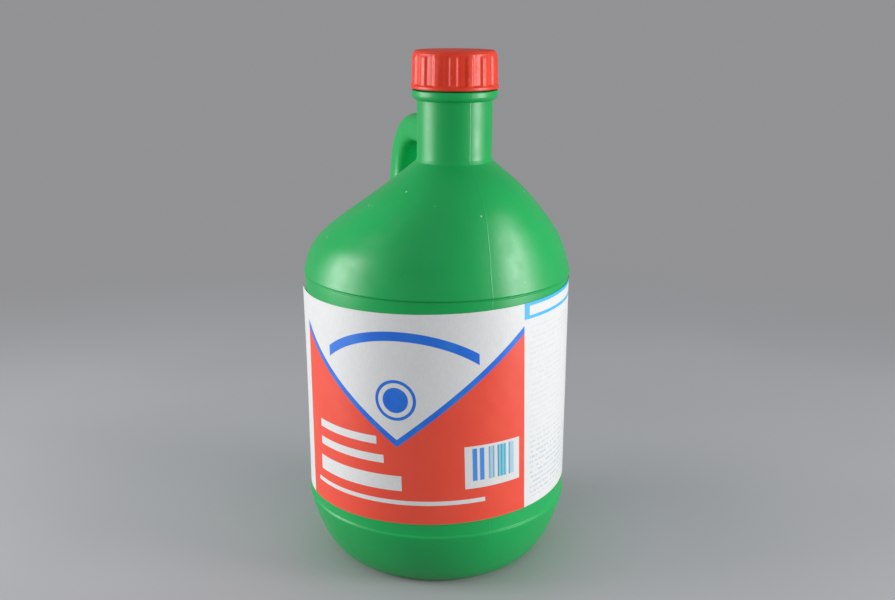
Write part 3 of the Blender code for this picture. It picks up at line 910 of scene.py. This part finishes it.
arch_z = NECK_Z + HANDLE_RISE
leg_y = HANDLE_REACH - NECK_OFFSET
foot_y = leg_y + HANDLE_LEAN
foot_z = GROOVE_Z + HANDLE_FOOT_HEIGHT
pull = HANDLE_CORNER * ARC_PULL
stops = [
    ((-NECK_OFFSET + BORE_RADIUS / 2, arch_z), (HANDLE_NECK_PULL, 0.0), HANDLE_NECK_FLARE),
    ((leg_y - HANDLE_CORNER, arch_z), (pull, 0.0), 1.0),
    ((leg_y, arch_z - HANDLE_CORNER), (HANDLE_LEG_SLOPE * pull, -pull), 1.0),
    ((foot_y, foot_z), (HANDLE_FOOT_PULL_BACK, -HANDLE_FOOT_PULL_DOWN), HANDLE_FLARE),
]
path, sizes = [], []
for (a, pull_a, size_a), (b, pull_b, size_b) in zip(stops, stops[1:]):
    knots = [Vector((0.0, *a)), Vector((0.0, a[0] + pull_a[0], a[1] + pull_a[1]))]
    knots += [Vector((0.0, b[0] - pull_b[0], b[1] - pull_b[1])), Vector((0.0, *b))]
    first = 1 if path else 0
    path += interpolate_bezier(*knots, PATH_STEPS)[first:]
    sizes += list(np.linspace(size_a, size_b, PATH_STEPS))[first:]
print("handle path:", len(path), "points")


def tube(name, inset, round_steps):
    """The handle's outside, or its hollow when inset by the wall."""
    line = wire(name, path)
    line.attributes.new("size", "FLOAT", "POINT").data.foreach_set("value", sizes)
    values = {
        "Width": HANDLE_WIDTH - 2 * inset, "Thickness": HANDLE_THICKNESS - 2 * inset,
        "Squareness": HANDLE_SQUARENESS, "Round": round_steps, "Material": green_plastic,
    }
    return grow(name, line, tube_tree, values)


def in_order(mesh):
    """Sort a mesh's points and faces by place, because a boolean leaves them in any order."""
    points = np.array([v.co for v in mesh.vertices])
    order = np.lexsort(points.T)
    rank = np.argsort(order)
    faces = [rank[list(f.vertices)].tolist() for f in mesh.polygons]
    starts = [f.index(min(f)) for f in faces]
    faces = sorted(f[s:] + f[:s] for f, s in zip(faces, starts))
    slot = mesh.polygons[0].material_index
    mesh.clear_geometry()
    mesh.from_pydata(points[order].tolist(), [], faces, shade_flat=False)
    mesh.polygons.foreach_set("material_index", [slot] * len(faces))


jug = combine(jug, tube("handle_outside", 0.0, TUBE_COLUMNS), "UNION")
in_order(jug.data)
hollow = combine(hollow, tube("handle_hollow", WALL, TUBE_COLUMNS // 2), "UNION")
print("jug with handle:", len(jug.data.polygons), "faces")

# %% [markdown]
# ### Rounding the joints
# The joined meshes meet in a hard corner, but the real mould has a small rounding there. The wall
# and the tube can each be written as a distance, and a smooth minimum of the two distances is a
# surface with the corner filled in. The points near the corner are evened out, and then moved onto
# that surface. The mesh was sorted before, and lists keep its order, so every run gives the same.

# %% Distances to the wall and to the handle
JOINT_ROUND = 0.0036
line = np.array([(p.y, p.z) for p in path])
line_size = np.array(sizes)


def wall_value(points):
    """How far points stand out of the wall, measured level from the middle of its ring."""
    slide = NECK_OFFSET * ease((points[:, 2] - SLIDE_FROM) / (SLIDE_TO - SLIDE_FROM))
    return np.hypot(points[:, 0], points[:, 1] + slide) - np.interp(points[:, 2], outer_z, outer_r)


def tube_value(points):
    """How far points stand out of the handle, as a share of its size."""
    start, run = line[:-1], line[1:] - line[:-1]
    off = points[:, None, 1:] - start[None]
    t = np.clip((off * run).sum(-1) / (run**2).sum(-1), 0.0, 1.0)
    away = np.hypot(*np.moveaxis(off - t[..., None] * run, -1, 0))
    near = away.argmin(1)
    rows = np.arange(len(points))
    size = line_size[near] + t[rows, near] * (line_size[near + 1] - line_size[near])
    across, deep = np.abs(points[:, 0]) * 2 / HANDLE_WIDTH, away[rows, near] * 2 / HANDLE_THICKNESS
    return (across**HANDLE_SQUARENESS + deep**HANDLE_SQUARENESS) ** (1.0 / HANDLE_SQUARENESS) / size - 1.0


def distance_to(value, points):
    """A field's value as a distance, and its direction."""
    nudge = 0.00005
    slope = np.stack([(value(points + d) - value(points - d)) / (2 * nudge) for d in np.eye(3) * nudge], 1)
    steep = np.linalg.norm(slope, axis=1)
    return value(points) / steep, slope / steep[:, None]


def joined_distance(points):
    """The smooth minimum of both distances, its slope, and the difference of the two."""
    a, along_a = distance_to(wall_value, points)
    b, along_b = distance_to(tube_value, points)
    share = np.clip(1.0 - np.abs(a - b) / JOINT_ROUND, 0.0, 1.0)
    first = np.where(a < b, 1.0 - share / 2, share / 2)[:, None]
    return np.minimum(a, b) - share**2 * JOINT_ROUND / 4, along_a * first + along_b * (1.0 - first), a - b


print("distances ready")

# %% Round the joints
JOINT_FACET = 0.0010
JOINT_LOW = GROOVE_Z + 0.004
JOINT_HIGH = BEAD_Z - 0.0005
JOINT_FRONT = -0.03
SKIN_INSIDE = -0.0021
SKIN_OUTSIDE = 0.0008
CUT_REACH = 1.5
REFINE_REACH = 1.35
FLIP_REACH = 1.3
SETTLE_REACH = 1.15
LONGEST_EDGE = 1.4 * JOINT_FACET
SHORTEST_EDGE = 0.5 * JOINT_FACET


def near_joint(shape, reach):
    """The vertices of the outer skin within a reach of the joint, and their places."""
    some = [v for v in shape.verts if JOINT_LOW < v.co.z < JOINT_HIGH and v.co.y > JOINT_FRONT]
    points = np.array([v.co for v in some])
    gap, slope, apart = joined_distance(points)
    pick = (np.abs(apart) < JOINT_ROUND * reach) & (gap > SKIN_INSIDE) & (gap < SKIN_OUTSIDE)
    return [v for v, use in zip(some, pick) if use], points[pick]


def settle(shape, times):
    """Even out the points near the joint and move them onto the rounded surface."""
    for turn_number in range(times):
        found, points = near_joint(shape, SETTLE_REACH)
        around = [[e.other_vert(v).co for e in v.link_edges] for v in found]
        middles = [sum(places, Vector()) / len(places) for places in around]
        points = points * 0.5 + np.array(middles) * 0.5
        for again in range(2):
            gap, slope = joined_distance(points)[:2]
            points = points - slope * (gap / (slope**2).sum(1))[:, None]
        for vertex, point in zip(found, points):
            vertex.co = point


shape = bmesh.new()
shape.from_mesh(jug.data)
found = set(near_joint(shape, CUT_REACH)[0])
bmesh.ops.triangulate(shape, faces=[f for f in shape.faces if any(v in found for v in f.verts)])
for turn_number in range(4):
    found = set(near_joint(shape, REFINE_REACH)[0])
    inner_edges = [e for e in shape.edges if e.verts[0] in found and e.verts[1] in found]
    long_edges = [e for e in inner_edges if e.calc_length() > LONGEST_EDGE]
    bmesh.ops.subdivide_edges(shape, edges=long_edges, cuts=1)
    found = dict.fromkeys(near_joint(shape, REFINE_REACH)[0])
    wide_faces = [f for f in shape.faces if len(f.verts) > 3 and any(v in found for v in f.verts)]
    bmesh.ops.triangulate(shape, faces=wide_faces)
    bmesh.ops.remove_doubles(shape, verts=list(found), dist=SHORTEST_EDGE)
    found = set(near_joint(shape, FLIP_REACH)[0])
    faces = [f for f in shape.faces if all(v in found for v in f.verts)]
    edges = dict.fromkeys(e for f in faces for e in f.edges)
    bmesh.ops.beautify_fill(shape, faces=faces, edges=list(edges))
    settle(shape, 2)
settle(shape, 4)
bmesh.ops.recalc_face_normals(shape, faces=shape.faces)
shape.to_mesh(jug.data)
shape.free()
print("rounded joints:", len(found), "points")

# %% [markdown]
# ## The screw thread
# A thread is a small trapezoid carried up a helix. The tree rolls up a grid again: the column sets
# the angle and the climb, the row picks a corner of the trapezoid, and a smooth step at both ends
# lets the ridge fade into the wall.

# %% Tree: thread ridge
thread_tree, given = start_tree(
    "thread ridge",
    ["Columns", "Rows"],
    ["Turns", "Pitch", "Wall side", "Start angle", "Start height", "Axis Y"],
)
grid, column, corner_radius, corner_height = profile_grid(thread_tree, given)
progress = column / given["Columns"]
from_end = calc("MINIMUM", progress, 1.0 - progress)
depth = ranged(from_end, 0.0, THREAD_RUN_OUT / given["Turns"], THREAD_END_DEPTH, 1.0)
radius = given["Wall side"] + (corner_radius - given["Wall side"]) * depth
turns = progress * given["Turns"]
angle = turns * tau + given["Start angle"]
height = turns * given["Pitch"] + given["Start height"] + corner_height
end_tree(rolled(grid, radius, angle, height, given["Axis Y"]), given["Material"])

# %% Thread pieces
THREAD_SINK = 0.0005
THREAD_ROUND = 0.0003
THREAD_COLUMNS = 108


def thread(name, root_radius, crest_radius, start_height, start_angle, material):
    """A closed thread ridge with rounded crest corners."""
    way = 1.0 if crest_radius > root_radius else -1.0
    wall_side = root_radius - way * THREAD_SINK
    corners = [(wall_side, -THREAD_ROOT / 2), (crest_radius, -THREAD_CREST / 2)]
    corners += [(crest_radius, THREAD_CREST / 2), (wall_side, THREAD_ROOT / 2)]
    section = softened(corners, THREAD_ROUND, 3)
    section.append(section[0])
    values = {
        "Columns": THREAD_COLUMNS, "Rows": len(section), "Turns": THREAD_TURNS, "Pitch": THREAD_PITCH,
        "Wall side": wall_side, "Start angle": start_angle, "Start height": start_height,
        "Axis Y": -NECK_OFFSET, "Material": material,
    }
    ridge = grow(name, wire(name, [(r, 0.0, h) for r, h in section]), thread_tree, values)
    shape = bmesh.new()
    shape.from_mesh(ridge.data)
    bmesh.ops.holes_fill(shape, edges=shape.edges, sides=len(section) + 2)
    bmesh.ops.recalc_face_normals(shape, faces=shape.faces)
    shape.to_mesh(ridge.data)
    shape.free()
    return ridge


neck_start = RIM_Z - THREAD_START - THREAD_PITCH * THREAD_TURNS
neck_crest = FINISH_RADIUS + THREAD_DEPTH
neck_thread = thread("neck_thread", FINISH_RADIUS, neck_crest, neck_start, 0.0, green_plastic)
jug = combine(jug, neck_thread, "UNION")
jug = combine(jug, hollow, "DIFFERENCE")
in_order(jug.data)
jug.name = "jug_shell"
jug.data.set_sharp_from_angle(angle=radians(50.0))
print("jug shell:", len(jug.data.polygons), "faces")

# %% Put the jug on its body
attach(jug, "jug")
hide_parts("bottle")
print("jug stands in for the bottle")

# %% [markdown]
# ## The cap
# The cap is one moulding: a smooth band at the bottom, a skirt with grip ribs, a rounded edge and a
# flat top, with a thread inside. The ribs repeat by rule round the skirt. They could be copies of
# one bar, but real ribs flow out of the skirt, so a tree lifts the skirt's own points instead: the
# angle gives a place within one rib, and smooth steps shape its flanks and its ends.

# %% Tree: ribbed cap
cap_tree, given = start_tree(
    "ribbed cap",
    ["Columns", "Rows"],
    ["Rib count", "Rib depth", "Rib foot", "Rib crest", "Rib turn", "Rib low", "Rib high", "Rib end",
     "Rib fade", "Skirt from", "Axis Y"],
)
grid, column, radius, height = profile_grid(cap_tree, given)
share = column / given["Columns"]
phase = calc("FRACT", share * given["Rib count"] + 0.5)
flank = ranged(calc("ABSOLUTE", phase - 0.5), given["Rib crest"], given["Rib foot"], 1.0, 0.0)
low_end = ranged(height, given["Rib low"], given["Rib low"] + given["Rib end"])
high_end = ranged(height, given["Rib high"] - given["Rib fade"], given["Rib high"], 1.0, 0.0)
on_skirt = calc("GREATER_THAN", radius, given["Skirt from"])
lift = (flank * on_skirt) * (low_end * high_end)
note = {"Name": "rib", "Value": lift}
noted = then(grid, "GeometryNodeStoreNamedAttribute", note, data_type="FLOAT")
radius = radius + lift * given["Rib depth"]
angle = share * tau + given["Rib turn"]
end_tree(welded(rolled(noted, radius, angle, height, given["Axis Y"])), given["Material"])

# %% Grow the cap
RIB_START = -0.0004
RIB_END = 0.0010
RIB_FADE = 0.0021
RIB_COLUMNS = 20

band_radius = CAP_RIB_RADIUS + CAP_BAND_STAND
band_z = CAP_BASE_Z + CAP_BAND_HEIGHT
edge_z = CAP_TOP_Z - CAP_EDGE_HEIGHT
corners = [
    (0.0, CAP_ROOF_Z), (CAP_BORE_RADIUS, CAP_ROOF_Z, 0.0004), (CAP_BORE_RADIUS, CAP_BASE_Z, 0.0003),
    (band_radius, CAP_BASE_Z, 0.0005), (band_radius, band_z - 0.0006, 0.0005),
    (CAP_VALLEY_RADIUS, band_z + 0.0004, 0.0005), (CAP_VALLEY_RADIUS, edge_z + 0.0008, 0.0008),
]
for i in range(4, 11):
    bend = radians(9.0 * i)
    edge_radius = CAP_RIB_RADIUS - CAP_EDGE_WIDTH * (1.0 - cos(bend))
    corners.append((edge_radius, edge_z + CAP_EDGE_HEIGHT * sin(bend)))
corners.append((0.0, CAP_TOP_Z))
cap_profile = evenly(softened(corners, 0.0004, 6), 0.0007)
skirt_from = CAP_VALLEY_RADIUS - CAP_WALL / 2
draft = [CAP_DRAFT * min(max((h - band_z) / (edge_z - band_z), 0.0), 1.0) for r, h in cap_profile]
cap_profile = [(r - less if r > skirt_from else r, h) for (r, h), less in zip(cap_profile, draft)]
values = {
    "Columns": RIB_COUNT * RIB_COLUMNS, "Rows": len(cap_profile), "Rib count": float(RIB_COUNT),
    "Rib depth": RIB_DEPTH, "Rib foot": RIB_FOOT, "Rib crest": RIB_CREST, "Rib turn": RIB_TURN,
    "Rib low": band_z + RIB_START, "Rib high": edge_z + RIB_FADE, "Rib end": RIB_END, "Rib fade": RIB_FADE,
    "Skirt from": skirt_from - CAP_DRAFT, "Axis Y": -NECK_OFFSET, "Material": red_plastic,
}
cap = grow("screw_cap", wire("cap", [(r, 0.0, h) for r, h in cap_profile]), cap_tree, values)
cap_start = RIM_Z - THREAD_START - THREAD_PITCH * (THREAD_TURNS + 1.0)
cap_crest = FINISH_RADIUS + THREAD_CLEARANCE
cap_thread = thread("cap_thread", CAP_BORE_RADIUS, cap_crest, cap_start, -pi, red_plastic)
cap = combine(cap, cap_thread, "UNION")
cap.data.set_sharp_from_angle(angle=radians(55.0))
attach(cap, "closure")
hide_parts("cap")
print("cap:", len(cap.data.polygons), "faces")

# %% [markdown]
# ## The liner
# A foam disc with a slightly rounded edge lies in the roof of the cap. The turned wall tree makes
# it too: with the slide set below the disc, all of it sits on the neck's axis.

# %% Liner
liner_radius = CAP_BORE_RADIUS - FIT_GAP
liner_top = LINER_Z + LINER_THICKNESS
corners = [(0.0, LINER_Z), (liner_radius, LINER_Z), (liner_radius, liner_top), (0.0, liner_top)]
liner = turned("foam_liner", evenly(softened(corners, 0.0003), 0.004), 128, 0.0, 0.001, white_foam)
liner.data.set_sharp_from_angle(angle=radians(50.0))
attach(liner, "seal")
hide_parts("cap_liner")
print("liner:", len(liner.data.polygons), "faces")

# %% [markdown]
# ## The label
# The label is a flat sheet wrapped round the panel, a little askew, with one loose corner. The tree
# keeps the flat place of each point as the sheet's own map for the print, then bends the sheet.
# A noise lifts it by a hair where the glue has let go, as on real paper labels.

# %% Tree: wrapped sheet
SHEET_COLUMNS = 260
SHEET_ROWS = 96
MM = 0.001

label_tree, given = start_tree(
    "wrapped sheet",
    [],
    ["Left", "Right", "Height", "Radius", "Front", "Skew", "Bottom", "Corner lift", "Corner reach",
     "Blister", "Seed"],
)
size = {"Size X": 1.0, "Size Y": 1.0, "Vertices X": SHEET_COLUMNS, "Vertices Y": SHEET_ROWS}
grid = add(label_tree, "GeometryNodeMeshGrid", size)
gx, gy, gz = split(position(label_tree))
along = (gx + 0.5) * (given["Right"] - given["Left"]) + given["Left"]
up = (gy + 0.5) * given["Height"]
flat_map = packed((along + SHEET_MIDDLE * MM) / (SHEET_SPAN * MM), up / (SHEET_SPAN * MM), 0.0)
note = {"Name": "UVMap", "Value": flat_map}
flat = then(grid, "GeometryNodeStoreNamedAttribute", note, data_type="FLOAT2", domain="CORNER")
cos_skew = calc("COSINE", given["Skew"])
sin_skew = calc("SINE", given["Skew"])
height = given["Bottom"] + (along * sin_skew + up * cos_skew)
angle = given["Front"] + (along * cos_skew - up * sin_skew) / PANEL_RADIUS
near_end = ranged(along - given["Left"], 0.0, given["Corner reach"], 1.0, 0.0, smooth=False)
corner = calc("POWER", near_end, 2.0) * calc("POWER", up / given["Height"], 2.0)
blister = noise(packed(along, up, 0.0), 45.0, 2.0, seed=given["Seed"])
puff = ranged(blister, 0.52, 0.75) * given["Blister"]
radius = given["Radius"] + corner * given["Corner lift"] + puff
end_tree(rolled(flat, radius, angle, height, 0.0), given["Material"])

# %% Wrap the label and give it its thickness
PAPER_GAP = 0.00012
PAPER_THICKNESS = 0.00013
BLISTER = 0.00012
BLISTER_SEED = 5.0

values = {
    "Left": -LABEL_LEFT * PANEL_RADIUS, "Right": LABEL_RIGHT * PANEL_RADIUS, "Height": LABEL_HEIGHT,
    "Radius": PANEL_RADIUS + PAPER_GAP, "Front": LABEL_FRONT, "Skew": LABEL_SKEW, "Bottom": LABEL_BOTTOM,
    "Corner lift": LABEL_CORNER_LIFT, "Corner reach": LABEL_CORNER_REACH, "Blister": BLISTER,
    "Seed": BLISTER_SEED, "Material": printed_paper,
}
start = wire("label", [(0.0, 0.0, 0.0), (0.0, 0.0, 1.0)])
label = grow("paper_label", start, label_tree, values, closed=False)
shape = bmesh.new()
shape.from_mesh(label.data)
middle = shape.faces[:][len(shape.faces) // 2]
shape.normal_update()
if middle.normal.xy.dot(middle.calc_center_median().xy) < 0:
    bmesh.ops.reverse_faces(shape, faces=shape.faces)
shape.to_mesh(label.data)
shape.free()
thick = label.modifiers.new("paper", "SOLIDIFY")
thick.thickness = PAPER_THICKNESS
thick.offset = 1.0
label = plain(label, closed=False)
label.data.set_sharp_from_angle(angle=radians(50.0))
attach(label, "jug")
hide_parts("label")
print("label:", len(label.data.polygons), "faces")

# %% [markdown]
# ## Floor and background
# The bottle stands on a plain pale floor that reaches to the horizon. Near the bottle it is lit as
# any floor is, so it takes the bottle's shadow. Farther off it turns into one even pale grey, which
# only the camera, reflections and see-through things meet, and the world has the same grey, so no
# horizon shows. Light that bounces off the floor meets a darker grey, so the bottle isn't lit much
# from below.

# %% Floor
BACKGROUND = (0.288, 0.289, 0.296)
FLOOR_PALE = (0.46, 0.46, 0.475)
FLOOR_DEEP = (0.43, 0.43, 0.445)
FLOOR_BOUNCE = (0.20, 0.20, 0.205)
FLOOR_HALF = 60
FADE_FROM = 0.30
FADE_TO = 0.85


def seen_ray(tree):
    """1 for the rays that show a background: from the camera, a reflection or a see-through thing."""
    path = tree.nodes.new("ShaderNodeLightPath").outputs
    bounced = either(Value(path["Is Glossy Ray"]), Value(path["Is Transmission Ray"]))
    return either(Value(path["Is Camera Ray"]), bounced)


def fade_out(share, shader, light, output):
    """Fade a shader into an evenly coloured one and feed the result to the tree's output."""
    seen = add(share.tree, "ShaderNodeMixShader", {0: share, 1: Value(shader.outputs[0]), 2: light})
    feed(share.tree.nodes[output].inputs["Surface"], seen)


floor_finish, shader, place = new_finish("studio_floor")
tree = place.tree
seen_colour = mixed(spread(noise(place, 3.0)), FLOOR_DEEP, FLOOR_PALE)
feed_all(shader, {
    "Base Color": mixed(seen_ray(tree), FLOOR_BOUNCE, seen_colour),
    "Roughness": spread(noise(place, 40.0), 0.78, 0.82),
})
x, y, z = split(place)
far = ranged(length_of(x, y), FADE_FROM, FADE_TO) * seen_ray(tree)
fade_out(far, shader, add(tree, "ShaderNodeEmission", {"Color": BACKGROUND}), "Material Output")
corners = [(x * FLOOR_HALF, y * FLOOR_HALF, 0) for x, y in ((-1, -1), (1, -1), (1, 1), (-1, 1))]
floor_mesh = bpy.data.meshes.new("floor")
floor_mesh.from_pydata(corners, [], [(0, 1, 2, 3)])
floor_mesh.materials.append(floor_finish)
floor = put("floor", floor_mesh)
print("floor:", len(tree.nodes), "nodes")

# %% World
FILL = 0.52
FILL_COLOUR = (0.92, 0.95, 1.0)

world = bpy.data.worlds.new("studio")
bpy.context.scene.world = world
world.use_nodes = True
tree = world.node_tree
fill = tree.nodes["Background"]
feed_all(fill, {"Color": FILL_COLOUR, "Strength": FILL})
backdrop = add(tree, "ShaderNodeBackground", {"Color": BACKGROUND})
fade_out(seen_ray(tree), fill, backdrop, "World Output")
print("world ready")

# %% [markdown]
# ## Lights
# A soft box stands on each side of the bottle, reaching from the table to a little above the cap.
# Each is a bright core in a lower and an upper half, with a wider, fainter box round it, as a lamp
# behind cloth has. They draw the long soft highlights on neck and shoulder, and the front stays
# darker between them. The world fills in from all sides at a low level.

# %% Lights
LIGHT_REACH = 0.95


def soft_box(name, side_turn, low, high, wide, power):
    """An upright area light that faces the bottle, turned to the right of the camera's direction."""
    lamp = bpy.data.lights.new(name, "AREA")
    lamp.shape = "RECTANGLE"
    lamp.size = wide
    lamp.size_y = high - low
    lamp.energy = power
    item = bpy.data.objects.new(name, lamp)
    bpy.context.scene.collection.objects.link(item)
    turned_by = radians(side_turn) - CAMERA_ASIDE
    toward = Vector((sin(turned_by), -cos(turned_by), 0.0))
    item.location = toward * LIGHT_REACH + Vector((0.0, 0.0, (low + high) / 2))
    item.rotation_euler = (-toward).to_track_quat("-Z", "Y").to_euler()
    item.visible_camera = False
    return item


# Name, turn in degrees, lower edge, upper edge and width in metres, and power in watts.
boxes = [
    ("left_low", -85, 0.01, 0.25, 0.50, 2.4),
    ("left_high", -85, 0.25, 0.48, 0.50, 4.0),
    ("left_wide", -85, 0.01, 0.52, 0.85, 1.4),
    ("right_low", 70, 0.01, 0.25, 0.33, 2.9),
    ("right_high", 70, 0.25, 0.48, 0.33, 2.6),
    ("right_wide", 75, 0.01, 0.48, 0.66, 1.6),
]
for box in boxes:
    soft_box(*box)
print("lights:", len(boxes))
